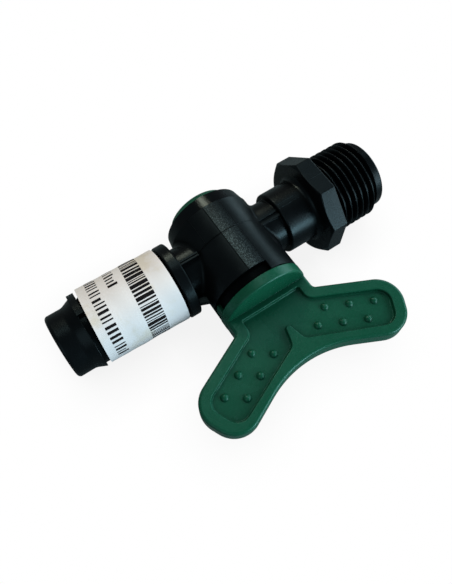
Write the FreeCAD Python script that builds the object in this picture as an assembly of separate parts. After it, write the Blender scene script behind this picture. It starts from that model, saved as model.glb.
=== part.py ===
import FreeCAD, Part
import math
import os

# Inline mini valve for drip and garden pipe: a barbed tail for 20 mm soft pipe, a barrel with a
# quarter-turn plug across the pipe, and a 1/2 inch male pipe end, all one black moulding. The green
# plug carries its butterfly handle. Sizes are in millimetres. The origin is the centre of the
# thread's shoulder, +X runs along the pipe out of the threaded end, and the plug's axis is parallel
# to Y with the handle on the -Y side. The handle lies flat in the XY plane, which is the open position.

# Barrel across the pipe; its heights are measured from the pipe's axis towards the handle
barrel_radius = 11.36
barrel_wall = 1.86
barrel_handle_end = 14.3
barrel_far_step = 0.12
barrel_taper_start = 8.0
barrel_far_end = 11.3
barrel_rim_radius = barrel_radius - 0.7
barrel_bore_radius = barrel_radius - barrel_wall
barrel_lip_radius = barrel_bore_radius - 3.3
barrel_lip_thickness = 1.8
barrel_handle_edge_round = 0.3

# Necks and sleeve between the barrel, the flange and the collar
neck_length = 2.44
inlet_neck_radius = 7.35
outlet_neck_radius = 6.95
outlet_neck_length = 2.94
outlet_sleeve_radius = 8.3
outlet_sleeve_length = 8.8
sleeve_flare = 1.3
flare_overlap = 0.1
ledge_round = 0.5
neck_fillet = 1.1

# Octagonal collar and threaded end
octagon_across_flats = 24.6
octagon_width = 4.7
octagon_corner_chamfer = 0.5
octagon_edge_round = 0.3
octagon_sides = 8
thread_major_radius = 10.4
thread_length = 12.9
lead_ring_radius = 9.1
lead_ring_length = 2.2
lead_chamfer = 0.5

# Barbed tail
flange_radius = 9.8
flange_width = 2.75
flange_round = 0.35
tail_radius = 8.15
barbed_length = 23.05
nose_length = 4.65
nose_flare_length = 2.5
nose_flare_round = 2.25
nose_round = 0.9
barb_crest_radius = 9.25
barb_crest_round = 0.1
barb_groove_radius = 8.35
barb_groove_width = 1.3
land_width = 1.75
land_drop = 0.3
land_lead = 0.25
land_parting = 0.5
hidden_barb_count = 3
hidden_barb_pitch = 5.3
hidden_barb_ramp = 4.0
hidden_barb_sink = 0.05

# Mould parting ribs on the two necks, and the ribs in the neck's own plane towards and away from the handle
inlet_rib_middle = -0.55
inlet_rib_spacing = 0.72
inlet_rib_thickness = 0.45
inlet_rib_top = inlet_neck_radius + 1.35
outlet_rib_middle = -1.0
outlet_rib_spacing = 1.5
outlet_rib_thickness = 0.7
outlet_rib_top = outlet_neck_radius + 0.3
side_rib_thickness = 1.6
side_rib_near = inlet_neck_radius + 1.2
side_rib_far = inlet_neck_radius + 2.2
rib_sink = 3.0

# Stop notch in the barrel's rim and the handle's stop lug; angles turn from +X towards +Z
quarter_turn_deg = 90.0
lug_start_deg = 167.0
lug_width_deg = 20.0
stop_clearance_deg = 1.0
notch_depth = 2.6
notch_floor_radius = barrel_bore_radius + 0.7
lug_height = 2.3
lug_radius = barrel_radius - 0.26
lug_side_clearance = 0.1

# Waterway
waterway_radius = 5.3
tail_bore_radius = 6.4
thread_bore_radius = 7.3
bore_taper_length = 3.0

# Plug
running_clearance = 0.05
end_clearance = 0.1
stub_radius = barrel_lip_radius - 1.2
stub_length = 3.4
plug_end_round = 0.3
oring_section_radius = 0.62
oring_squeeze_gap = 0.03
handle_oring_place = 9.4
cap_oring_inset = 1.1
port_seal_inner_radius = 5.9
port_seal_width = 0.9
port_seal_depth = 1.0
seat_clearance = 0.02

# Cap on the plug's far end
cap_radius = barrel_rim_radius - 1.1
cap_thickness = 2.5
cap_dome = 1.4
cap_inner_edge_round = 0.3

# Handle
disc_radius = barrel_radius + 0.09
disc_thickness = 2.7
disc_edge_round = 0.5
disc_back_round = 0.25
plate_half_thickness = 2.4
web_half_thickness = 1.4
plate_edge_round = 0.8
recess_foot_round = 0.3
recess_mouth_round = 0.25
plate_neck_half_width = disc_radius - 0.2
plate_neck_round = 1.2
wing_angle_deg = 25.5
wing_upper_edge = 13.7
wing_lower_edge = 28.35
wing_reach = 40.0
wing_tip_round = 6.4
wing_valley_round = 27.0
rim_side_width = 3.0
rim_upper_width = 2.85
rim_lower_width = 2.5
rim_tip_width = 3.1
recess_start = 18.5
recess_draft = 0.18
recess_tip_round = 3.4
recess_shoulder_round = 2.5
recess_corner_round = 0.5
peak_height = 5.9098
peak_half_width = 0.5
peak_tip_round = 0.4
peak_foot_half_width = 1.7
peak_foot_drop = 0.6492
peak_foot_round = 2.2
bump_radius = 1.0
bump_height = 0.7
bump_spacing = 6.04
bump_columns = 3
upper_bumps_start = 20.78
upper_bumps_inset = 5.36
lower_bumps_start = 18.28
lower_bumps_inset = 4.89

# Paper label wrapped on the barbs; its centre line leans off the pipe's axis
label_near_gap = 0.65
label_far_inset = 1.75
label_end_lean_deg = 3.7
label_radius = 9.75
label_thickness = 0.2
label_near_lean = (0.16, 0.08)
label_far_lean = (0.62, 0.33)

# Places along the pipe, measured from the plug's axis
ledge_reach = barrel_radius + outlet_neck_length
octagon_reach = ledge_reach + outlet_sleeve_length
shoulder_reach = octagon_reach + octagon_width
thread_end_reach = shoulder_reach + thread_length
outlet_end_reach = thread_end_reach + lead_ring_length
flange_reach = barrel_radius + neck_length
flange_far_reach = flange_reach + flange_width
first_barb_reach = flange_far_reach + barbed_length
flare_start_reach = first_barb_reach + nose_flare_length
tail_reach = flare_start_reach + nose_length
label_near_reach = flange_far_reach + label_near_gap
label_far_reach = first_barb_reach - label_far_inset
label_inner_radius = label_radius - label_thickness

plug_x = -shoulder_reach
X_AXIS = FreeCAD.Vector(1, 0, 0)
Y_AXIS = FreeCAD.Vector(0, 1, 0)
Z_AXIS = FreeCAD.Vector(0, 0, 1)
cut_margin = 1.0
match_margin = 0.01


def on_pipe(reach, radius):
    """A point in a plane through the pipe's axis, at a reach from the plug's axis and a radius."""
    return FreeCAD.Vector(plug_x + reach, radius, 0)


def on_plug(height, radius):
    """A point in a plane through the plug's axis, at a height towards the handle and a radius."""
    return FreeCAD.Vector(plug_x + radius, -height, 0)


def on_plate(across, height):
    """A point of the handle's middle plane: across from the plug's axis, and height towards the handle."""
    return FreeCAD.Vector(plug_x + across, -height, 0)


def rounded_wire(corners, place):
    """A closed wire through corners (a, b, round), with each round as a tangent arc."""
    arcs = []
    count = len(corners)
    for i in range(count):
        a, b, radius = corners[i]
        here = place(a, b)
        if radius <= 0:
            arcs.append((here, None, here))
            continue
        before = place(*corners[i - 1][:2]) - here
        after = place(*corners[(i + 1) % count][:2]) - here
        before.normalize()
        after.normalize()
        half = before.getAngle(after) / 2
        inward = before + after
        inward.normalize()
        reach = radius / math.tan(half)
        centre = here + inward * (radius / math.sin(half))
        arcs.append((here + before * reach, centre - inward * radius, here + after * reach))
    edges = []
    for i in range(count):
        start, middle, end = arcs[i]
        if middle is not None:
            edges.append(Part.Arc(start, middle, end).toShape())
        following = arcs[(i + 1) % count][0]
        if (following - end).Length > 1e-6:
            edges.append(Part.LineSegment(end, following).toShape())
    return Part.Wire(edges)


def revolve_on_pipe(corners):
    face = Part.Face(rounded_wire(corners, on_pipe))
    return face.revolve(FreeCAD.Vector(plug_x, 0, 0), X_AXIS, 360)


def revolve_on_plug(corners):
    face = Part.Face(rounded_wire(corners, on_plug))
    return face.revolve(FreeCAD.Vector(plug_x, 0, 0), Y_AXIS, 360)


def pipe_cylinder(radius, start_reach, end_reach):
    base = FreeCAD.Vector(plug_x + start_reach, 0, 0)
    return Part.makeCylinder(radius, end_reach - start_reach, base, X_AXIS)


def plug_cylinder(radius, start_height, end_height):
    base = FreeCAD.Vector(plug_x, -end_height, 0)
    return Part.makeCylinder(radius, end_height - start_height, base, Y_AXIS)


def plug_sector(inner_radius, outer_radius, start_height, end_height, start_deg, sweep_deg):
    """A ring sector about the plug's axis, its angle turned from +X towards +Z."""
    corners = [
        (start_height, inner_radius, 0),
        (end_height, inner_radius, 0),
        (end_height, outer_radius, 0),
        (start_height, outer_radius, 0),
    ]
    face = Part.Face(rounded_wire(corners, on_plug))
    centre = FreeCAD.Vector(plug_x, 0, 0)
    face.rotate(centre, Y_AXIS, -start_deg)
    return face.revolve(centre, Y_AXIS, -sweep_deg)


def label_centre(reach):
    """The label's centre line at a reach from the plug's axis, towards the tail."""
    share = (reach - label_near_reach) / (label_far_reach - label_near_reach)
    lean_y = label_near_lean[0] + share * (label_far_lean[0] - label_near_lean[0])
    lean_z = label_near_lean[1] + share * (label_far_lean[1] - label_near_lean[1])
    return FreeCAD.Vector(plug_x - reach, lean_y, lean_z)


def pipe_outside():
    """The outside of the whole pipe, from the tail's tip to the lead ring, before barbs, collar and ribs."""
    groove_end = first_barb_reach - barb_groove_width
    collar_core = outlet_sleeve_radius + sleeve_flare + flare_overlap
    corners = [
        (0, inlet_neck_radius, 0),
        (-flange_reach, inlet_neck_radius, flange_round),
        (-flange_reach, flange_radius, flange_round),
        (-flange_far_reach, flange_radius, flange_round),
        (-flange_far_reach, tail_radius, 0),
        (-groove_end, tail_radius, 0),
        (-groove_end, barb_groove_radius, 0),
        (-first_barb_reach, barb_groove_radius, 0),
        (-first_barb_reach, barb_crest_radius, barb_crest_round),
        (-flare_start_reach, tail_radius, nose_flare_round),
        (-tail_reach, tail_radius, nose_round),
        (-tail_reach, 0, 0),
        (outlet_end_reach, 0, 0),
        (outlet_end_reach, lead_ring_radius, lead_chamfer),
        (thread_end_reach, lead_ring_radius, 0),
        (thread_end_reach, thread_major_radius, 0),
        (shoulder_reach, thread_major_radius, 0),
        (shoulder_reach, collar_core, 0),
        (octagon_reach, collar_core, 0),
        (octagon_reach, outlet_sleeve_radius, sleeve_flare),
        (ledge_reach, outlet_sleeve_radius, ledge_round),
        (ledge_reach, outlet_neck_radius, ledge_round / 2),
        (0, outlet_neck_radius, 0),
    ]
    return revolve_on_pipe(corners)


def hidden_barbs():
    """The barbs under the label, whose crests follow the label's own centre line."""
    crest_radius = label_inner_radius - seat_clearance
    barbs = []
    for i in range(hidden_barb_count):
        crest_reach = first_barb_reach - hidden_barb_pitch * (i + 1)
        foot = FreeCAD.Vector(plug_x - crest_reach - hidden_barb_ramp, 0, 0)
        foot_circle = Part.Wire(Part.makeCircle(tail_radius - hidden_barb_sink, foot, X_AXIS))
        crest_circle = Part.Wire(Part.makeCircle(crest_radius, label_centre(crest_reach), X_AXIS))
        barbs.append(Part.makeLoft([foot_circle, crest_circle], True, True))
    return barbs


def barb_land():
    """The flat-topped part of the first barb, on the half of the tail away from the handle."""
    start = first_barb_reach + land_lead
    centre = label_centre(start - land_width)
    centre.x = plug_x - start
    disc = Part.makeCylinder(label_inner_radius - land_drop, land_width, centre, X_AXIS)
    low = FreeCAD.Vector(centre.x - cut_margin, land_parting, -label_radius)
    keep = Part.makeBox(land_width + 2 * cut_margin, label_radius, 2 * label_radius, low)
    return disc.common(keep)


def octagon_chamfer(corner_radius):
    """The turned outline that takes the octagon's corners down on the barrel's side, as on a nut."""
    flat_radius = octagon_across_flats / 2
    slope = octagon_corner_chamfer / (corner_radius - flat_radius)
    chamfer_end = octagon_reach + slope * (corner_radius + cut_margin - flat_radius)
    corners = [
        (octagon_reach, 0, 0),
        (octagon_reach, flat_radius, 0),
        (chamfer_end, corner_radius + cut_margin, 0),
        (shoulder_reach, corner_radius + cut_margin, 0),
        (shoulder_reach, 0, 0),
    ]
    return revolve_on_pipe(corners)


def octagon_collar():
    half_side_angle = math.pi / octagon_sides
    corner_radius = octagon_across_flats / 2 / math.cos(half_side_angle)
    points = []
    for i in range(octagon_sides):
        angle = half_side_angle * (2 * i + 1)
        y = corner_radius * math.cos(angle)
        z = corner_radius * math.sin(angle)
        points.append(FreeCAD.Vector(-octagon_width, y, z))
    outline = Part.makePolygon(points + [points[0]])
    prism = Part.Face(outline).extrude(FreeCAD.Vector(octagon_width, 0, 0))
    prism = prism.common(octagon_chamfer(corner_radius))
    return prism.makeFillet(octagon_edge_round, prism.Edges)


def barrel_outside():
    corners = [
        (barrel_handle_end, 0, 0),
        (barrel_handle_end, barrel_radius, barrel_handle_edge_round),
        (-barrel_far_end, barrel_radius, 0),
        (-barrel_far_end, 0, 0),
    ]
    return revolve_on_plug(corners)


def far_rim_cut():
    """What the barrel's far rim lacks of its full radius: a small step and a taper."""
    stepped_radius = barrel_radius - barrel_far_step
    corners = [
        (-barrel_taper_start, stepped_radius, 0),
        (-barrel_far_end, barrel_rim_radius, 0),
        (-barrel_far_end - cut_margin, barrel_rim_radius, 0),
        (-barrel_far_end - cut_margin, barrel_radius + cut_margin, 0),
        (-barrel_taper_start, barrel_radius + cut_margin, 0),
    ]
    return revolve_on_plug(corners)


def neck_ribs(start_reach, end_reach, middle, spacing, thickness, top):
    """A pair of parting ribs along the pipe, above it and below it."""
    base = top - rib_sink
    ribs = []
    for side in (-1, 1):
        low_y = middle + side * spacing / 2 - thickness / 2
        low = FreeCAD.Vector(plug_x + start_reach, low_y, base)
        rib = Part.makeBox(end_reach - start_reach, thickness, top - base, low)
        ribs += [rib, rib.mirror(FreeCAD.Vector(0, 0, 0), Z_AXIS)]
    return ribs


def side_ribs():
    """Ribs from the flange up to the barrel, on the sides towards the handle and away from it."""
    foot = inlet_neck_radius - rib_sink
    corners = [
        (-flange_reach, foot, 0),
        (-flange_reach, side_rib_near, 0),
        (-barrel_radius, side_rib_far, 0),
        (-barrel_bore_radius, side_rib_far, 0),
        (-barrel_bore_radius, foot, 0),
    ]
    profile = Part.Face(rounded_wire(corners, on_pipe))
    profile.translate(FreeCAD.Vector(0, 0, -side_rib_thickness / 2))
    rib = profile.extrude(FreeCAD.Vector(0, 0, side_rib_thickness))
    return [rib, rib.mirror(FreeCAD.Vector(0, 0, 0), Y_AXIS)]


def waterway_cut():
    taper_end = ledge_reach + bore_taper_length * 2
    corners = [
        (-tail_reach - cut_margin, 0, 0),
        (-tail_reach - cut_margin, tail_bore_radius, 0),
        (-flange_reach - bore_taper_length, tail_bore_radius, 0),
        (-flange_reach, waterway_radius, 0),
        (taper_end - bore_taper_length, waterway_radius, 0),
        (taper_end, thread_bore_radius, 0),
        (outlet_end_reach + cut_margin, thread_bore_radius, 0),
        (outlet_end_reach + cut_margin, 0, 0),
    ]
    return revolve_on_pipe(corners)


def barrel_cut():
    lip_inside = barrel_far_end - barrel_lip_thickness
    bore = plug_cylinder(barrel_bore_radius, -lip_inside, barrel_handle_end + cut_margin)
    return bore.fuse(plug_cylinder(barrel_lip_radius, -barrel_far_end - cut_margin, 0))


def stop_notch():
    start = lug_start_deg - quarter_turn_deg - stop_clearance_deg
    sweep = quarter_turn_deg + lug_width_deg + 2 * stop_clearance_deg
    return plug_sector(
        notch_floor_radius,
        barrel_radius + cut_margin,
        barrel_handle_end - notch_depth,
        barrel_handle_end + cut_margin,
        start,
        sweep,
    )


def fillet_neck_joints(shape):
    """Rounds the edges where the two necks run into the barrel."""
    joints = []
    for edge in shape.Edges:
        box = edge.BoundBox
        curved_joint = edge.Curve.TypeId == "Part::GeomBSplineCurve"
        reach = max(abs(box.XMin - plug_x), abs(box.XMax - plug_x))
        if curved_joint and reach < barrel_radius + match_margin:
            joints.append(edge)
    return shape.makeFillet(neck_fillet, joints) if joints else shape


def make_valve_body():
    body = fillet_neck_joints(barrel_outside().fuse(pipe_outside()).removeSplitter())
    barrel_side = math.sqrt(barrel_radius ** 2 - inlet_neck_radius ** 2)
    added = hidden_barbs() + [barb_land(), octagon_collar()]
    added += neck_ribs(
        -flange_reach, -barrel_side, inlet_rib_middle, inlet_rib_spacing, inlet_rib_thickness, inlet_rib_top
    )
    added += neck_ribs(
        barrel_side, ledge_reach, outlet_rib_middle, outlet_rib_spacing, outlet_rib_thickness, outlet_rib_top
    )
    for piece in added + side_ribs():
        body = body.fuse(piece)
    for removed in (waterway_cut(), barrel_cut(), far_rim_cut(), stop_notch()):
        body = body.cut(removed)
    return body


plug_radius = barrel_bore_radius - running_clearance
plug_far_face = barrel_far_end - barrel_lip_thickness - end_clearance
disc_back = barrel_handle_end + end_clearance
disc_front = disc_back + disc_thickness
oring_radius = barrel_bore_radius - oring_squeeze_gap - oring_section_radius
oring_heights = (handle_oring_place, -plug_far_face + cap_oring_inset)


def oring(height):
    centre = FreeCAD.Vector(plug_x, -height, 0)
    return Part.makeTorus(oring_radius, oring_section_radius, centre, Y_AXIS)


def oring_groove(height):
    half = oring_section_radius + seat_clearance
    ring = plug_cylinder(plug_radius + cut_margin, height - half, height + half)
    return ring.cut(plug_cylinder(oring_radius - half, height - half, height + half))


def port_ring(growth, outer_radius):
    """A saddle ring on the plug's blank side, grown all round by the given amount."""
    outside = port_seal_inner_radius + port_seal_width + growth
    inside = port_seal_inner_radius - growth
    base = FreeCAD.Vector(plug_x, 0, 0)
    tall = barrel_bore_radius + cut_margin
    ring = Part.makeCylinder(outside, tall, base, Z_AXIS).cut(Part.makeCylinder(inside, tall, base, Z_AXIS))
    shell = plug_cylinder(outer_radius, -tall, tall)
    shell = shell.cut(plug_cylinder(plug_radius - port_seal_depth - growth, -tall, tall))
    return ring.common(shell)


def make_port_seal():
    return port_ring(0, barrel_bore_radius - oring_squeeze_gap)


def mirrored_in_plate(shape):
    return shape.mirror(FreeCAD.Vector(0, 0, 0), Z_AXIS)


def in_wing(along, across):
    """A wing's own point, along the wing and across it, as (across the handle, height)."""
    angle = math.radians(wing_angle_deg)
    u = along * math.cos(angle) - across * math.sin(angle)
    v = along * math.sin(angle) + across * math.cos(angle)
    return u, v


def wing_edge_height(across, u):
    """Height at which a wing's edge line, at the given offset, crosses a line u from the plug's axis."""
    angle = math.radians(wing_angle_deg)
    return (across + u * math.sin(angle)) / math.cos(angle)


def other_half(half):
    """The -X half of a closed outline, from its +X half."""
    return [(-u, v, radius) for u, v, radius in reversed(half)]


def held_round(radius, width):
    """A round at the end of a strip, held to less than half of the strip's width."""
    return min(radius, 0.48 * width)


def plate_corners():
    neck = plate_neck_half_width
    tip_round = held_round(wing_tip_round, wing_lower_edge - wing_upper_edge)
    half = [
        (neck, disc_back + disc_thickness / 2, 0),
        (neck, wing_edge_height(wing_upper_edge, neck), plate_neck_round),
        (*in_wing(wing_reach, wing_upper_edge), tip_round),
        (*in_wing(wing_reach, wing_lower_edge), tip_round),
    ]
    valley = (0, wing_edge_height(wing_lower_edge, 0), wing_valley_round)
    return half + [valley] + other_half(half)


def recess_corners():
    side = plate_neck_half_width - rim_side_width
    upper = wing_upper_edge + rim_upper_width
    lower = wing_lower_edge - rim_lower_width
    tip = wing_reach - rim_tip_width
    tip_round = held_round(recess_tip_round, lower - upper)
    peak_foot = wing_edge_height(lower, peak_foot_half_width) + peak_foot_drop
    peak_top = wing_edge_height(wing_lower_edge, 0) - peak_height
    half = [
        (side, recess_start, recess_corner_round),
        (side, wing_edge_height(upper, side), recess_shoulder_round),
        (*in_wing(tip, upper), tip_round),
        (*in_wing(tip, lower), tip_round),
        (peak_foot_half_width, peak_foot, peak_foot_round),
        (peak_half_width, peak_top, peak_tip_round),
    ]
    return half + other_half(half)


def moved_in(corners, inset):
    """A rounded outline whose lines all move inwards by the inset."""
    moved = []
    count = len(corners)
    for i in range(count):
        here = FreeCAD.Vector(*corners[i][:2], 0)
        before = here - FreeCAD.Vector(*corners[i - 1][:2], 0)
        after = FreeCAD.Vector(*corners[(i + 1) % count][:2], 0) - here
        before.normalize()
        after.normalize()
        inward_before = Z_AXIS.cross(before)
        inward_after = Z_AXIS.cross(after)
        share = inset / (1 + inward_before.dot(inward_after))
        place = here + (inward_before + inward_after) * share
        hollow = before.cross(after).z < 0
        moved.append((place.x, place.y, corners[i][2] + (inset if hollow else -inset)))
    return moved


def recess_cut():
    """One face's recess, with walls that lean outwards and a rounded foot."""
    lean = recess_draft / (plate_half_thickness - web_half_thickness)
    wires = []
    for level in (web_half_thickness, plate_half_thickness + cut_margin):
        inset = lean * (plate_half_thickness - level)
        wire = rounded_wire(moved_in(recess_corners(), inset), on_plate)
        wire.translate(FreeCAD.Vector(0, 0, level))
        wires.append(wire)
    recess = Part.makeLoft(wires, True, True)
    foot = [edge for edge in recess.Edges if edge.BoundBox.ZMax < web_half_thickness + match_margin]
    return recess.makeFillet(recess_foot_round, foot)


def grip_bumps():
    """Low domes on the web: two rows along each wing."""
    sphere_radius = (bump_radius ** 2 + bump_height ** 2) / (2 * bump_height)
    bumps = []
    upper_row = (upper_bumps_start, wing_upper_edge + upper_bumps_inset)
    lower_row = (lower_bumps_start, wing_lower_edge - lower_bumps_inset)
    for first, across in (upper_row, lower_row):
        for column in range(bump_columns):
            u, v = in_wing(first + column * bump_spacing, across)
            for side in (-1, 1):
                centre = on_plate(side * u, v)
                centre.z = web_half_thickness + bump_height - sphere_radius
                bumps.append(Part.makeSphere(sphere_radius, centre))
    return bumps


def ease_recess_mouths(plate):
    """Rounds the top edge of both recesses."""
    recess = Part.Face(rounded_wire(recess_corners(), on_plate)).BoundBox
    recess.enlarge(match_margin)
    mouths = []
    for edge in plate.Edges:
        box = edge.BoundBox
        level = abs(abs(box.ZMin) - plate_half_thickness) < match_margin and box.ZLength < match_margin
        inside = box.XMin > recess.XMin and box.XMax < recess.XMax and box.YMin > recess.YMin
        if level and inside and box.YMax < recess.YMax:
            mouths.append(edge)
    return plate.makeFillet(recess_mouth_round, mouths)


def make_plate():
    face = Part.Face(rounded_wire(plate_corners(), on_plate))
    face.translate(FreeCAD.Vector(0, 0, -plate_half_thickness))
    plate = face.extrude(FreeCAD.Vector(0, 0, 2 * plate_half_thickness))
    rim_edges = []
    for edge in plate.Edges:
        box = edge.BoundBox
        upright = box.ZLength > match_margin
        inside_disc = box.YMin > -disc_front
        if not upright and not inside_disc:
            rim_edges.append(edge)
    plate = plate.makeFillet(plate_edge_round, rim_edges)
    cut = recess_cut()
    plate = ease_recess_mouths(plate.cut([cut, mirrored_in_plate(cut)]))
    for piece in grip_bumps():
        plate = plate.fuse(piece)
        plate = plate.fuse(mirrored_in_plate(piece))
    return plate


def make_plug_handle():
    corners = [
        (-plug_far_face - stub_length, 0, 0),
        (-plug_far_face - stub_length, stub_radius, plug_end_round),
        (-plug_far_face, stub_radius, 0),
        (-plug_far_face, plug_radius, plug_end_round),
        (disc_back, plug_radius, 0),
        (disc_back, disc_radius, disc_back_round),
        (disc_front, disc_radius, disc_edge_round),
        (disc_front, 0, 0),
    ]
    handle = revolve_on_plug(corners)
    lug_floor = notch_floor_radius + lug_side_clearance
    lug_top = disc_back + disc_thickness / 2
    lug = plug_sector(lug_floor, lug_radius, disc_back - lug_height, lug_top, lug_start_deg, lug_width_deg)
    handle = handle.fuse([lug, make_plate()])
    cuts = [oring_groove(height) for height in oring_heights]
    cuts.append(pipe_cylinder(waterway_radius, -barrel_radius, barrel_radius))
    groove = port_ring(seat_clearance, plug_radius + cut_margin)
    cuts += [groove, mirrored_in_plate(groove)]
    return handle.cut(cuts).removeSplitter()


def make_retaining_cap():
    inner = barrel_far_end + end_clearance
    outer = inner + cap_thickness
    socket_floor = plug_far_face + stub_length + seat_clearance
    corners = [
        (-inner, stub_radius + seat_clearance, 0),
        (-inner, cap_radius, cap_inner_edge_round),
        (-outer, cap_radius - cap_dome, cap_dome),
        (-outer, 0, 0),
        (-socket_floor, 0, 0),
        (-socket_floor, stub_radius + seat_clearance, 0),
    ]
    return revolve_on_plug(corners)


def make_paper_label():
    near = label_centre(label_near_reach)
    far = label_centre(label_far_reach)
    line = far - near
    outside = Part.makeCylinder(label_radius, line.Length + cut_margin, near, line)
    inside = Part.makeCylinder(label_inner_radius, line.Length + cut_margin, near, line)
    width = 4 * label_radius
    beyond = Part.makeBox(width, width, width, FreeCAD.Vector(-width, -width / 2, -width / 2))
    beyond.rotate(FreeCAD.Vector(0, 0, 0), Z_AXIS, -label_end_lean_deg)
    beyond.translate(FreeCAD.Vector(far.x, 0, 0))
    return outside.cut([inside, beyond])


def build_parts():
    port_seal = make_port_seal()
    return {
        "valve_body": make_valve_body(),
        "paper_label": make_paper_label(),
        "plug_handle": make_plug_handle(),
        "retaining_cap": make_retaining_cap(),
        "handle_side_o_ring": oring(oring_heights[0]),
        "cap_side_o_ring": oring(oring_heights[1]),
        "port_seal_front": port_seal,
        "port_seal_back": mirrored_in_plate(port_seal),
    }


os.makedirs("parts", exist_ok=True)
for name, shape in build_parts().items():
    shape.exportStep("parts/" + name + ".step")
    print(name, "solids", len(shape.Solids), "valid", shape.isValid(), "volume", round(shape.Volume, 1))
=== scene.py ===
import bpy
import math
import random
from mathutils import Matrix, Vector


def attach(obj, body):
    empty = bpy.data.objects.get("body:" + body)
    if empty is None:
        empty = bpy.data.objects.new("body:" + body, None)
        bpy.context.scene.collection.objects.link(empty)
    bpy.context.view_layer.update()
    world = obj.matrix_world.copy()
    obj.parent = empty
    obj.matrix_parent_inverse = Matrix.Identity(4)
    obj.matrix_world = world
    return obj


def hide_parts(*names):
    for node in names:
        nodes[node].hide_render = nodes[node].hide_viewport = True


# The dressed valve. Sizes and places are in millimetres, and mm() turns them into the frame's metres. The
# pipe's axis is X, and angles about it turn from +Y towards +Z. The plug's axis is parallel to Y at plug_x,
# and angles about it turn from +X towards +Z.

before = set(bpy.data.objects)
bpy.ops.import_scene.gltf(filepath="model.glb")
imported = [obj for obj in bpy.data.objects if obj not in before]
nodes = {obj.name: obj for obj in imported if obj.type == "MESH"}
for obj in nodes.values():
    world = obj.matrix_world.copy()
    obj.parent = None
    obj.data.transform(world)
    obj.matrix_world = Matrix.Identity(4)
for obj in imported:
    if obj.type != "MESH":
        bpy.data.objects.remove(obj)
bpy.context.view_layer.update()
random.seed(11)


def mm(value):
    return value * 0.001


# sizes and places that several sections share

plug_x = -27.8
barrel_radius = 11.36
barrel_rim_y = 7.95
band_start_deg = 78.1
band_end_deg = 99.1
sleeve_radius = 8.3
collar_half = 12.3

# node helpers


def set_inputs(tree, node, inputs):
    """Sets inputs of a node, each to a fixed value or to another node's output."""
    for key, value in inputs.items():
        if hasattr(value, "is_linked"):
            tree.links.new(value, node.inputs[key])
        else:
            node.inputs[key].default_value = value


def add(tree, kind, inputs=None, **settings):
    """A new node with its settings and its inputs."""
    node = tree.nodes.new(kind)
    for key, value in settings.items():
        setattr(node, key, value)
    set_inputs(tree, node, inputs or {})
    return node


def noise(tree, place, scale, detail, roughness):
    inputs = {"Vector": place, "Scale": scale, "Detail": detail, "Roughness": roughness}
    return add(tree, "ShaderNodeTexNoise", inputs).outputs["Fac"]


def maths(tree, operation, first, second=0.0, third=0.0):
    node = add(tree, "ShaderNodeMath", {0: first, 1: second, 2: third}, operation=operation)
    return node.outputs[0]


def joined(tree, operation, *values):
    """Several values joined by one operation, such as MULTIPLY or MAXIMUM."""
    result = values[0]
    for value in values[1:]:
        result = maths(tree, operation, result, value)
    return result


def between(tree, value, low, high):
    """A mask that is 1 where the value lies between two limits."""
    above = maths(tree, "GREATER_THAN", value, low)
    below = maths(tree, "LESS_THAN", value, high)
    return joined(tree, "MULTIPLY", above, below)


def distance(tree, first, second):
    """The length of the long side over two sides at right angles."""
    squares = [maths(tree, "POWER", side, 2.0) for side in (first, second)]
    return maths(tree, "SQRT", maths(tree, "ADD", *squares))


def spread(tree, value, low, high, to_low, to_high, kind="LINEAR"):
    """Maps a value from one range to another and stops at its ends."""
    limits = {"Value": value, "From Min": low, "From Max": high, "To Min": to_low, "To Max": to_high}
    return add(tree, "ShaderNodeMapRange", limits, interpolation_type=kind).outputs["Result"]


def colour_mix(tree, factor, first, second, blend="MIX"):
    """Two colours mixed, each a fixed one or another node's output."""
    inputs = {0: factor, 6: first, 7: second}
    return add(tree, "ShaderNodeMix", inputs, data_type="RGBA", blend_type=blend).outputs[2]


def occlusion(tree, reach, samples):
    """How open a surface is within a reach: 1 in the open, less in hollows and near other pieces."""
    node = add(tree, "ShaderNodeAmbientOcclusion", {"Distance": mm(reach)}, samples=samples)
    return node.outputs["AO"]


def bump(tree, height, strength, depth, normal=None):
    """The surface's direction made uneven by a height, over its own direction or a given one."""
    inputs = {"Height": height, "Strength": strength, "Distance": mm(depth)}
    if normal is not None:
        inputs["Normal"] = normal
    return add(tree, "ShaderNodeBump", inputs).outputs["Normal"]


# materials


def new_material(name):
    material = bpy.data.materials.new(name)
    material.use_nodes = True
    tree = material.node_tree
    return material, tree, tree.nodes["Principled BSDF"]


grain_depth = 0.05
edge_softness = 0.12

# Zones whose finish differs: the barrel's wall, band and two seams; the stop notch and tail's neck get
# painted shade.
wall_inside = barrel_radius - 0.21
wall_outside = barrel_radius + 0.24
band_fade_start_deg = 78.0
band_fade_end_deg = 94.0
band_share_at_edge = 0.25
band_fade_start_y = -3.0
band_fade_end_y = 7.0
band_share_at_rim = 0.35
cross_seam_y = -0.22
cross_seam_half = 0.13
cross_seam_start_deg = 80.0
down_seam_deg = 99.2
down_seam_half_deg = 0.5
notch_floor_y = -11.68
notch_reach = 10.4
tail_neck_reach = 6.6
tail_neck_start = -15.2
tail_neck_end = -8.0
tail_neck_painted_shade = 0.6


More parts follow.
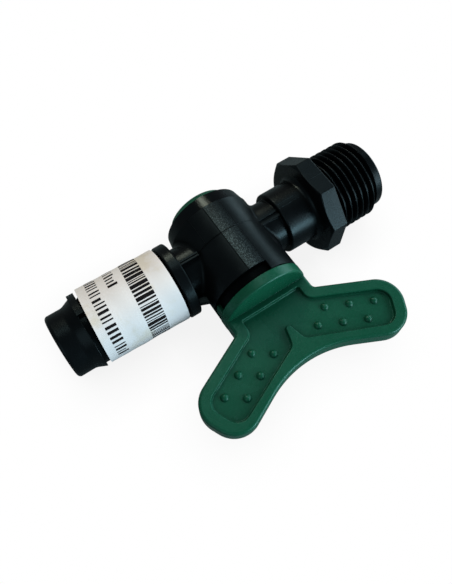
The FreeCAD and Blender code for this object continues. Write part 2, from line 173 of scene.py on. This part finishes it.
def barrel_zones(tree, place):
    """Masks of the barrel's wall, the matt band along its top, its smooth far rim, and its seams and painted
    shade.
    """
    axes = add(tree, "ShaderNodeSeparateXYZ", {0: place}).outputs
    along, up = axes["Y"], axes["Z"]
    across = maths(tree, "ADD", axes["X"], mm(-plug_x))
    angle = maths(tree, "ARCTAN2", up, across)
    reach = distance(tree, up, across)
    pipe_reach = distance(tree, up, along)

    below_rim = maths(tree, "LESS_THAN", along, mm(barrel_rim_y))
    above_rim = maths(tree, "GREATER_THAN", along, mm(barrel_rim_y))
    wall = joined(tree, "MULTIPLY", between(tree, reach, mm(wall_inside), mm(wall_outside)), below_rim)
    rim = joined(tree, "MULTIPLY", maths(tree, "LESS_THAN", reach, mm(wall_outside)), above_rim)

    inside = between(tree, angle, math.radians(band_start_deg), math.radians(band_end_deg))
    fade_start, fade_end = math.radians(band_fade_start_deg), math.radians(band_fade_end_deg)
    turned = spread(tree, angle, fade_start, fade_end, band_share_at_edge, 1.0)
    lowered = spread(tree, along, mm(band_fade_start_y), mm(band_fade_end_y), 1.0, band_share_at_rim)
    band = joined(tree, "MULTIPLY", wall, inside, turned, lowered)

    cross_seam = joined(
        tree, "MULTIPLY",
        between(tree, along, mm(cross_seam_y - cross_seam_half), mm(cross_seam_y + cross_seam_half)),
        maths(tree, "GREATER_THAN", angle, math.radians(cross_seam_start_deg)))
    down_seam = between(
        tree, angle,
        math.radians(down_seam_deg - down_seam_half_deg), math.radians(down_seam_deg + down_seam_half_deg))
    seams = joined(tree, "MULTIPLY", wall, joined(tree, "MAXIMUM", cross_seam, down_seam))
    # Painted shade: the stop notch and the tail's neck lose sheen, as the seams do.
    notch = joined(
        tree, "MULTIPLY",
        maths(tree, "LESS_THAN", along, mm(notch_floor_y)), maths(tree, "LESS_THAN", reach, mm(notch_reach)))
    tail_neck = joined(
        tree, "MULTIPLY", maths(tree, "LESS_THAN", pipe_reach, mm(tail_neck_reach)),
        between(tree, across, mm(tail_neck_start), mm(tail_neck_end)), tail_neck_painted_shade)
    return wall, band, rim, joined(tree, "MAXIMUM", seams, notch, tail_neck)


def barrel_finish(tree, place, finish, rough, sheen, grain):
    """Changes roughness, sheen and grain over the barrel by its finish; lowers sheen at seams and as painted
    shade.
    """
    wall, band, rim, seams_and_painted_shade = barrel_zones(tree, place)
    specks = noise(tree, place, scale=4000.0, detail=2.0, roughness=0.7)
    speck_low, speck_high = 0.47, 0.66
    brighter = spread(tree, specks, speck_low, speck_high, finish["band_dull"], finish["band_bright"])
    rough = maths(tree, "MULTIPLY_ADD", wall, finish["wall_rougher"], rough)
    rough = maths(tree, "MULTIPLY_ADD", band, finish["band_rougher"], rough)
    rough = maths(tree, "MULTIPLY_ADD", rim, -finish["rim_smoother"], rough)
    sheen = maths(tree, "MULTIPLY_ADD", band, brighter, sheen)
    # The sheen drops at the seams and, as painted shade, in the stop notch and on the tail's neck.
    sheen = maths(tree, "MULTIPLY", sheen, spread(tree, seams_and_painted_shade, 0.0, 1.0, 1.0, finish["seams_and_shade_sheen"]))
    grain = maths(tree, "MULTIPLY_ADD", band, finish["band_grain"], grain)
    return rough, sheen, grain


def moulded_plastic(
        name, colour, light_colour, tint, specular, roughness, grain, hollow_reach, hollow_shade,
        barrel=None):
    """Satin moulded plastic: mottled, finely grained, hazy in sheen, painted shade in hollows, soft edges.

    Where it is given, barrel is the finish of the barrel's zones, and the sheen of its seams and painted
    shade.
    """
    material, tree, shader = new_material(name)
    place = add(tree, "ShaderNodeTexCoord").outputs["Object"]
    haze = noise(tree, place, scale=150.0, detail=5.0, roughness=0.6)
    mottle = noise(tree, place, scale=1900.0, detail=2.0, roughness=0.6)
    fine = noise(tree, place, scale=3400.0, detail=3.0, roughness=0.7)

    haze_low, haze_high = 0.3, 0.7
    smoother, rougher = roughness - 0.05, roughness + 0.07
    duller, shinier = specular * 0.85, specular * 1.15
    rough = spread(tree, haze, haze_low, haze_high, smoother, rougher)
    sheen = spread(tree, haze, haze_low, haze_high, duller, shinier)
    if barrel:
        rough, sheen, grain = barrel_finish(tree, place, barrel, rough, sheen, grain)

    mottle_share, haze_share, darker = 0.8, 0.4, -0.1
    lightness = maths(tree, "MULTIPLY_ADD", haze, haze_share, darker)
    lightness = maths(tree, "MULTIPLY_ADD", mottle, mottle_share, lightness)
    # Painted shade: the colour and the sheen darken where the surface is closed in by hollows and nearby
    # pieces.
    deep, open_to_light = 0.25, 0.95
    hollow_painted_shade = spread(tree, occlusion(tree, hollow_reach, samples=6), deep, open_to_light, hollow_shade, 1.0)
    base = colour_mix(tree, lightness, colour, light_colour)
    soft_edges = add(tree, "ShaderNodeBevel", {"Radius": mm(edge_softness)}, samples=4).outputs["Normal"]
    set_inputs(tree, shader, {
        "Base Color": colour_mix(tree, 1.0, base, hollow_painted_shade, "MULTIPLY"),
        "Roughness": rough,
        "Specular IOR Level": maths(tree, "MULTIPLY", sheen, hollow_painted_shade),
        "Specular Tint": tint,
        "Normal": bump(tree, fine, grain, grain_depth, soft_edges),
    })
    return material


def paper_material():
    """White paper with fibres and faint stains, with painted shade making it cooler and darker towards the
    handle's side.
    """
    material, tree, shader = new_material("label_paper")
    place = add(tree, "ShaderNodeTexCoord").outputs["Object"]
    side = add(tree, "ShaderNodeSeparateXYZ", {0: place}).outputs["Y"]
    fibre = noise(tree, place, scale=1500.0, detail=4.0, roughness=0.7)
    stain = noise(tree, place, scale=130.0, detail=5.0, roughness=0.6)
    stained, clean, shaded = (0.72, 0.71, 0.65, 1), (0.79, 0.81, 0.83, 1), (0.77, 0.86, 0.92, 1)
    stain_low, stain_high = 0.36, 0.48
    shade_full_y, shade_end_y = -9.5, -2.0
    fibre_strength, fibre_depth = 0.6, 0.05
    paper = colour_mix(tree, spread(tree, stain, stain_low, stain_high, 0.0, 1.0), stained, clean)
    # Painted shade: the paper turns cooler and darker towards the handle's side.
    shade = spread(tree, side, mm(shade_full_y), mm(shade_end_y), 1.0, 0.0, "SMOOTHSTEP")
    set_inputs(tree, shader, {
        "Base Color": colour_mix(tree, shade, paper, shaded, "MULTIPLY"),
        "Roughness": 0.62,
        "Normal": bump(tree, fibre, fibre_strength, fibre_depth),
    })
    return material


def plain_material(name, colour, roughness, specular=0.5):
    material, tree, shader = new_material(name)
    set_inputs(tree, shader, {"Base Color": colour, "Roughness": roughness, "Specular IOR Level": specular})
    return material


black_plastic = moulded_plastic(
    "black_plastic",
    colour=(0.0012, 0.0017, 0.0021, 1),
    light_colour=(0.0027, 0.0036, 0.0046, 1),
    tint=(0.50, 0.85, 1.0, 1),
    specular=0.14,
    roughness=0.27,
    grain=0.45,
    # The hollows get painted shade, down to hollow_shade of their colour and sheen.
    hollow_reach=5.0,
    hollow_shade=0.5,
    barrel={
        "wall_rougher": 0.09,
        "band_rougher": 0.06,
        "band_dull": 0.10,
        "band_bright": 1.5,
        "band_grain": 0.5,
        "rim_smoother": 0.10,
        "seams_and_shade_sheen": 0.12,
    },
)
green_plastic = moulded_plastic(
    "green_plastic",
    colour=(0.0030, 0.058, 0.032, 1),
    light_colour=(0.0056, 0.088, 0.048, 1),
    tint=(0.45, 0.90, 1.0, 1),
    specular=0.28,
    roughness=0.27,
    grain=0.9,
    # The hollows get painted shade, down to hollow_shade of their colour and sheen.
    hollow_reach=9.0,
    hollow_shade=0.32,
)
label_paper = paper_material()
label_ink = plain_material("label_ink", (0.004, 0.004, 0.006, 1), roughness=0.7, specular=0.12)
seal_rubber = plain_material("seal_rubber", (0.012, 0.012, 0.012, 1), roughness=0.5)

# geometry helpers


def new_object(name, data):
    obj = bpy.data.objects.new(name, data)
    bpy.context.scene.collection.objects.link(obj)
    return obj


def dress(obj, material):
    obj.data.materials.clear()
    obj.data.materials.append(material)


def mesh_object(name, vertices, faces, material, sharp_deg=None):
    """A new object from points in millimetres, smooth shaded, with edges sharper than sharp_deg kept."""
    mesh = bpy.data.meshes.new(name)
    mesh.from_pydata([tuple(mm(c) for c in v) for v in vertices], [], faces)
    mesh.validate()
    mesh.update()
    for polygon in mesh.polygons:
        polygon.use_smooth = True
    if sharp_deg is not None:
        mesh.set_sharp_from_angle(angle=math.radians(sharp_deg))
    obj = new_object(name, mesh)
    dress(obj, material)
    return obj


def ring_faces(rings, around, closed=False):
    """Faces between rings of points, one ring after the other; a closed row joins the last to the first."""
    faces = []
    for i in range(rings if closed else rings - 1):
        here = i * around
        ahead = (i + 1) % rings * around
        for j in range(around):
            k = (j + 1) % around
            faces.append((here + j, here + k, ahead + k, ahead + j))
    return faces


def full_turn(count):
    """Even angles round a whole turn."""
    return [2 * math.pi * j / count for j in range(count)]


def copy_of(node, name):
    """An editable copy of a CAD node's mesh."""
    return new_object(name, nodes[node].data.copy())


# body moulding

thread_major = 10.4
thread_root = 9.05
thread_length = 12.9
thread_pitch = 1.814
thread_taper = 0.06
crest_relief = 0.03
crest_x = 1.77
crest_theta = math.radians(114.7)
core_clearance = 0.03
match_margin = 0.02


def make_body():
    """The body with the plain cylinder at its end drawn in, so that it lies under the thread's root."""
    body = copy_of("valve_body", "body_moulding")
    for vertex in body.data.vertices:
        x, y, z = vertex.co
        radius = math.hypot(y, z)
        on_thread = mm(-match_margin) < x < mm(thread_length + match_margin)
        if on_thread and abs(radius - mm(thread_major)) < mm(match_margin):
            shrink = mm(thread_root - core_clearance) / radius
            vertex.co.y *= shrink
            vertex.co.z *= shrink
    dress(body, black_plastic)
    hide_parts("valve_body")
    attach(body, "valve_body")


make_body()


def thread_profile(phase):
    """Height from 0 at the root to 1 at the crest, phase counted in turns from a crest."""
    crest_share, root_share, rounding = 0.10, 0.26, 0.3
    away = abs(phase - round(phase)) * 2
    rise = (1 - root_share - away) / (1 - root_share - crest_share)
    rise = min(1.0, max(0.0, rise))
    smooth_rise = rise * rise * (3 - 2 * rise)
    return smooth_rise * rounding + rise * (1 - rounding)


def make_thread():
    """The pipe thread as a skin round its root, fading out at both ends."""
    around, step = 200, 0.07
    start_gap, start_fade, end_fade = 0.2, 0.7, 0.45
    count = int(thread_length / step) + 1
    points = []
    for i in range(count):
        x = min(thread_length, i * step)
        fade_in = min(1.0, max(0.0, (x - start_gap) / start_fade))
        fade_out = min(1.0, max(0.0, (thread_length - x) / end_fade))
        crest = thread_major + crest_relief - thread_taper * x / thread_length
        for theta in full_turn(around):
            phase = (x - crest_x) / thread_pitch - (theta - crest_theta) / (2 * math.pi)
            height = thread_profile(phase) * min(fade_in, fade_out)
            radius = thread_root + (crest - thread_root) * height
            points.append((x, radius * math.cos(theta), radius * math.sin(theta)))
    thread = mesh_object("pipe_thread", points, ring_faces(count, around), black_plastic, sharp_deg=50)
    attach(thread, "valve_body")


make_thread()

# mould seams

seam_foot = 0.03
seam_width = 0.16
seam_height = 0.05
cross_width = 0.22


def add_seam(points, faces, line, width, height):
    """A thin closed ridge along a line of (point, outward direction) pairs, sunk a little at its foot."""
    start = len(points)
    count = len(line)
    for i in range(count):
        place, outward = line[i]
        ahead = line[min(i + 1, count - 1)][0] - line[max(i - 1, 0)][0]
        side = ahead.normalized().cross(outward) * (width / 2)
        foot = outward * seam_foot
        points.append(tuple(place - side - foot))
        points.append(tuple(place + outward * height))
        points.append(tuple(place + side - foot))
    for face in ring_faces(count, 3):
        faces.append(tuple(start + corner for corner in face))
    last = start + (count - 1) * 3
    faces.append((start + 2, start + 1, start))
    faces.append((last, last + 1, last + 2))


def on_barrel(y, angle_deg):
    """A point on the barrel's wall and the direction out of it."""
    angle = math.radians(angle_deg)
    outward = Vector((math.cos(angle), 0, math.sin(angle)))
    return Vector((plug_x, y, 0)) + outward * barrel_radius, outward


def barrel_line(angle_deg, high_y, low_y):
    """A line down the barrel."""
    steps = 12
    return [on_barrel(high_y + (low_y - high_y) * i / steps, angle_deg) for i in range(steps + 1)]


def barrel_ring(y, start_deg, end_deg):
    """A line round part of the barrel."""
    steps = 40
    return [on_barrel(y, start_deg + (end_deg - start_deg) * i / steps) for i in range(steps + 1)]


def sleeve_line(angle_deg, near, far):
    """A line along the sleeve, from near to far as counted from the plug's axis."""
    steps = 6
    angle = math.radians(angle_deg)
    outward = Vector((0, math.cos(angle), math.sin(angle)))
    line = []
    for i in range(steps + 1):
        x = plug_x + near + (far - near) * i / steps
        line.append((Vector((x, 0, 0)) + outward * sleeve_radius, outward))
    return line


def collar_line(y, *places):
    """A line along the collar's flat that faces +Z."""
    return [(Vector((x, y, collar_half)), Vector((0, 0, 1))) for x in places]


def mirrored_line(line):
    """The same line on the far side of the handle's plane, run the other way."""
    flipped = [(Vector((p.x, p.y, -p.z)), Vector((n.x, n.y, -n.z))) for p, n in line]
    return flipped[::-1]


def make_seams():
    """The thin lines that the mould's slides leave on the barrel, the sleeve and the collar."""
    down_high_y, down_low_y = 7.8, -11.5
    lines = (
        (barrel_line(band_start_deg, down_high_y, down_low_y), seam_width, seam_height),
        (barrel_line(band_end_deg, down_high_y, down_low_y), seam_width, seam_height),
        (barrel_line(122.0, 8.0, 0.3), seam_width, 0.04),
        (barrel_ring(-0.27, 50, 78), cross_width, 0.07),
        (barrel_ring(-0.15, 78, 99), cross_width, 0.07),
        (barrel_ring(-0.30, 99, 128), cross_width, 0.06),
        (sleeve_line(88.5, 14.6, 21.0), seam_width, seam_height),
        (sleeve_line(96.5, 14.6, 21.0), seam_width, seam_height),
        (collar_line(-0.2, -4.3, -2.4, -0.4), seam_width, seam_height),
    )
    points, faces = [], []
    for line, width, height in lines:
        add_seam(points, faces, line, width, height)
        add_seam(points, faces, mirrored_line(line), width, height)
    seams = mesh_object("mould_seams", points, faces, black_plastic, sharp_deg=30)
    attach(seams, "valve_body")


make_seams()

# label

label_near_end = -17.2
label_far_end = -37.85
label_near = Vector((plug_x + label_near_end, 0.16, 0.08))
label_far = Vector((plug_x + label_far_end, 0.62, 0.33))
label_radius = 9.75
label_thickness = 0.2
label_tuck = 0.03
cut_slope = 0.065
barb_pitch = 5.3
barb_crest = 34.3
barb_sag = 0.05
ink_lift = 0.012
bar_unit = 0.30

# Each crease is a wave round the label: its depth, its count, its turn per millimetre and its start.
creases = ((0.03, 3, 0.5, 0.0), (0.02, 7, -0.9, 1.0))


def on_label(x, theta, lift):
    """A point over the label at a place along the pipe from the plug's axis, in the label's own ring."""
    share = (plug_x + x - label_near.x) / (label_far.x - label_near.x)
    centre = label_near.lerp(label_far, share)
    sag = barb_sag * (1 - math.cos(2 * math.pi * (-x - barb_crest) / barb_pitch)) / 2
    crease = 0.0
    for depth, count, twist, start in creases:
        crease += depth * math.sin(count * theta + twist * x + start)
    radius = label_radius - label_tuck + crease - sag + lift
    return (plug_x + x, centre.y + radius * math.cos(theta), centre.z + radius * math.sin(theta))


def slanted(x, slope, theta):
    """A place along the pipe on a line that slants across the label as the print and its cut end do."""
    return x + slope * label_radius * math.cos(theta)


def make_label():
    """The label's sleeve: its outside, its cut ends and its inside as one closed row of rings."""
    around, count = 144, 64
    points = []
    for i in range(count + 1):
        for theta in full_turn(around):
            end = slanted(label_far_end, cut_slope, theta)
            points.append(on_label(label_near_end + (end - label_near_end) * i / count, theta, 0.0))
    for theta in full_turn(around):
        end = slanted(label_far_end, cut_slope, theta)
        points.append(on_label(end, theta, -label_thickness))
    for theta in full_turn(around):
        points.append(on_label(label_near_end, theta, -label_thickness))
    faces = ring_faces(count + 3, around, closed=True)
    label = mesh_object("label_sleeve", points, faces, label_paper, sharp_deg=40)
    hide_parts("paper_label")
    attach(label, "valve_body")


make_label()


def add_bar(points, faces, low, high, slopes, theta_low, theta_high):
    """One printed bar that lies on the label between two slanting ends."""
    start = len(points)
    along, steps = 6, 2
    for i in range(steps + 1):
        theta = theta_low + (theta_high - theta_low) * i / steps
        x_low, x_high = slanted(low, slopes[0], theta), slanted(high, slopes[1], theta)
        for j in range(along + 1):
            points.append(on_label(x_low + (x_high - x_low) * j / along, theta, ink_lift))
    for i in range(steps):
        for j in range(along):
            a = start + i * (along + 1) + j
            faces.append((a, a + 1, a + along + 2, a + along + 1))


def add_bars(points, faces, low, high, slopes, start_deg, end_deg, widths, gaps, insets=None):
    """A row of bars round the label, with widths, gaps and shorter ends drawn from short lists."""
    unit = bar_unit / label_radius
    theta = math.radians(start_deg)
    while theta < math.radians(end_deg):
        width = random.choice(widths) * unit
        inset = random.choice(insets) if insets else 0.0
        add_bar(points, faces, low, high - inset, slopes, theta, theta + width)
        theta += width + random.choice(gaps) * unit


def make_label_bars():
    """Generic bars in place of the label's print: one dense band and two sparse ones."""
    dense_widths, dense_gaps = (0.8, 1.2, 1.6, 2.2, 3.2), (0.8, 1.0, 1.3, 1.9)
    sparse_widths, sparse_gaps, sparse_insets = (1.2, 1.6, 2.4), (1.8, 2.2, 3.0), (0.0, 0.0, 0.5)
    dense_slopes, sparse_slopes = (0.08, 0.055), (0.075, 0.07)
    dense_low, dense_high, dense_start_deg, dense_end_deg = -26.6, -22.1, 18, 214
    sparse_rows = ((-35.6, -32.9, 178), (-30.9, -28.4, 80))
    sparse_start_deg = 10
    points, faces = [], []
    add_bars(
        points, faces, dense_low, dense_high, dense_slopes, dense_start_deg, dense_end_deg,
        dense_widths, dense_gaps)
    for low, high, end_deg in sparse_rows:
        add_bars(
            points, faces, low, high, sparse_slopes, sparse_start_deg, end_deg,
            sparse_widths, sparse_gaps, sparse_insets)
    bars = mesh_object("label_bars", points, faces, label_ink)
    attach(bars, "valve_body")


make_label_bars()

# CAD nodes that stay

for name, material in (
    ("plug_handle", green_plastic),
    ("retaining_cap", green_plastic),
    ("handle_side_o_ring", seal_rubber),
    ("cap_side_o_ring", seal_rubber),
    ("port_seal_front", seal_rubber),
    ("port_seal_back", seal_rubber),
):
    dress(nodes[name], material)

# floor

collar_rest = Vector((-4.4, 0, -12.36))
barrel_rest = Vector((plug_x, 0, -11.48))
floor_half_size = 3000.0
painted_shadow_reach = 15.0
painted_shadow_darkest = 0.885
painted_shadow_closed = 0.40
painted_shadow_open = 0.97


def floor_material():
    """Seen through by the camera and the lamps' shadows, with a painted shadow by the part and a dim bounce.
    """
    material, tree, shader = new_material("floor_white")
    bounce = (0.19, 0.25, 0.27, 1)
    set_inputs(tree, shader, {"Base Color": bounce, "Roughness": 0.9, "Specular IOR Level": 0.0})
    # Painted shadow: the surround seen through the floor darkens round the part where the floor is closed in
    # by it.
    openness = occlusion(tree, painted_shadow_reach, samples=16)
    painted_shadow = spread(tree, openness, painted_shadow_closed, painted_shadow_open, painted_shadow_darkest, 1.0)
    see_through = add(tree, "ShaderNodeBsdfTransparent", {"Color": painted_shadow})
    path = add(tree, "ShaderNodeLightPath").outputs
    open_to = maths(tree, "MAXIMUM", path["Is Camera Ray"], path["Is Shadow Ray"])
    mix = add(tree, "ShaderNodeMixShader", {0: open_to, 1: shader.outputs[0], 2: see_through.outputs[0]})
    set_inputs(tree, tree.nodes["Material Output"], {"Surface": mix.outputs[0]})
    return material


def make_floor():
    """The table that the collar and the barrel lie on."""
    half = floor_half_size
    corners = [(-half, -half, 0), (half, -half, 0), (half, half, 0), (-half, half, 0)]
    floor = mesh_object("floor", corners, [(0, 1, 2, 3)], floor_material())
    slope = math.atan2(barrel_rest.z - collar_rest.z, collar_rest.x - barrel_rest.x)
    floor.location = mm(barrel_rest)
    floor.rotation_euler = (0, slope, 0)


make_floor()

# lamps

lamp_aim = Vector((-30.0, -10.0, 0.0))
lamp_distance = 600.0

# Each box has its direction from the part, its width and height, its power in watts and its colour.
soft_boxes = (
    ("window", (0.65, -0.65, 0.30), (300, 300), 1.85, (1.0, 1.0, 1.0)),
    ("side", (0.90, -0.10, 0.40), (300, 300), 1.1, (0.80, 0.97, 1.0)),
    ("right", (0.90, 0.34, 0.20), (340, 240), 0.9, (0.78, 0.97, 1.0)),
    ("front", (0.38, -0.92, 0.15), (160, 210), 1.8, (0.80, 0.96, 1.0)),
    ("ceiling", (0.06, 0.42, 0.90), (180, 220), 0.42, (1.0, 0.90, 0.78)),
    ("lamp", (0.16, 0.75, 0.64), (100, 110), 1.05, (1.0, 0.77, 0.56)),
    ("left", (-0.75, -0.35, 0.55), (400, 400), 0.45, (1.0, 0.98, 0.95)),
    ("upper", (0.44, 0.41, 0.80), (220, 160), 0.12, (0.90, 1.0, 1.0)),
)


def soft_box(name, direction, size, power, colour):
    """A rectangular lamp that looks at the part."""
    data = bpy.data.lights.new(name, "AREA")
    data.shape = "RECTANGLE"
    data.size, data.size_y = mm(size[0]), mm(size[1])
    data.energy = power
    data.color = colour
    outward = Vector(direction).normalized()
    light = new_object(name, data)
    light.location = mm(lamp_aim + outward * lamp_distance)
    light.rotation_euler = (-outward).to_track_quat("-Z", "Y").to_euler()


for box in soft_boxes:
    soft_box(*box)

# surround

surround_light = 0.18
surround_seen = 1.0


def make_surround():
    """An even white surround that the camera sees brighter than it shines on the part."""
    world = bpy.data.worlds.new("studio")
    world.use_nodes = True
    bpy.context.scene.world = world
    tree = world.node_tree
    seen_directly = add(tree, "ShaderNodeLightPath").outputs["Is Camera Ray"]
    strength = spread(tree, seen_directly, 0.0, 1.0, surround_light, surround_seen)
    set_inputs(tree, tree.nodes["Background"], {"Color": (1.0, 1.0, 1.0, 1), "Strength": strength})


make_surround()
bpy.context.scene.view_settings.view_transform = "Standard"

# camera

# Solved from the photo: a rotation vector that turns the part's axes into camera axes with x right, y down
# and z forward, the camera's own place, and its focal length in the photo's pixels.
camera_turn = Vector((2.609, -0.785, 0.160))
camera_place = Vector((-65.23, -57.95, 126.12))
focal_length_px = 566.0
photo_height_px = 584.0
sensor_size = 36.0
nearest_seen = 10.0
farthest_seen = 20000.0


def make_camera():
    """The camera at its solved place. The long side of the picture is its height."""
    data = bpy.data.cameras.new("camera")
    data.sensor_width = sensor_size
    data.lens = focal_length_px / photo_height_px * sensor_size
    data.clip_start = mm(nearest_seen)
    data.clip_end = mm(farthest_seen)
    right, down, forward = Matrix.Rotation(camera_turn.length, 3, camera_turn.normalized()).row
    axes = Matrix((right, -down, -forward)).transposed()
    camera = new_object("camera", data)
    camera.matrix_world = Matrix.Translation(mm(camera_place)) @ axes.to_4x4()
    bpy.context.scene.camera = camera


make_camera()
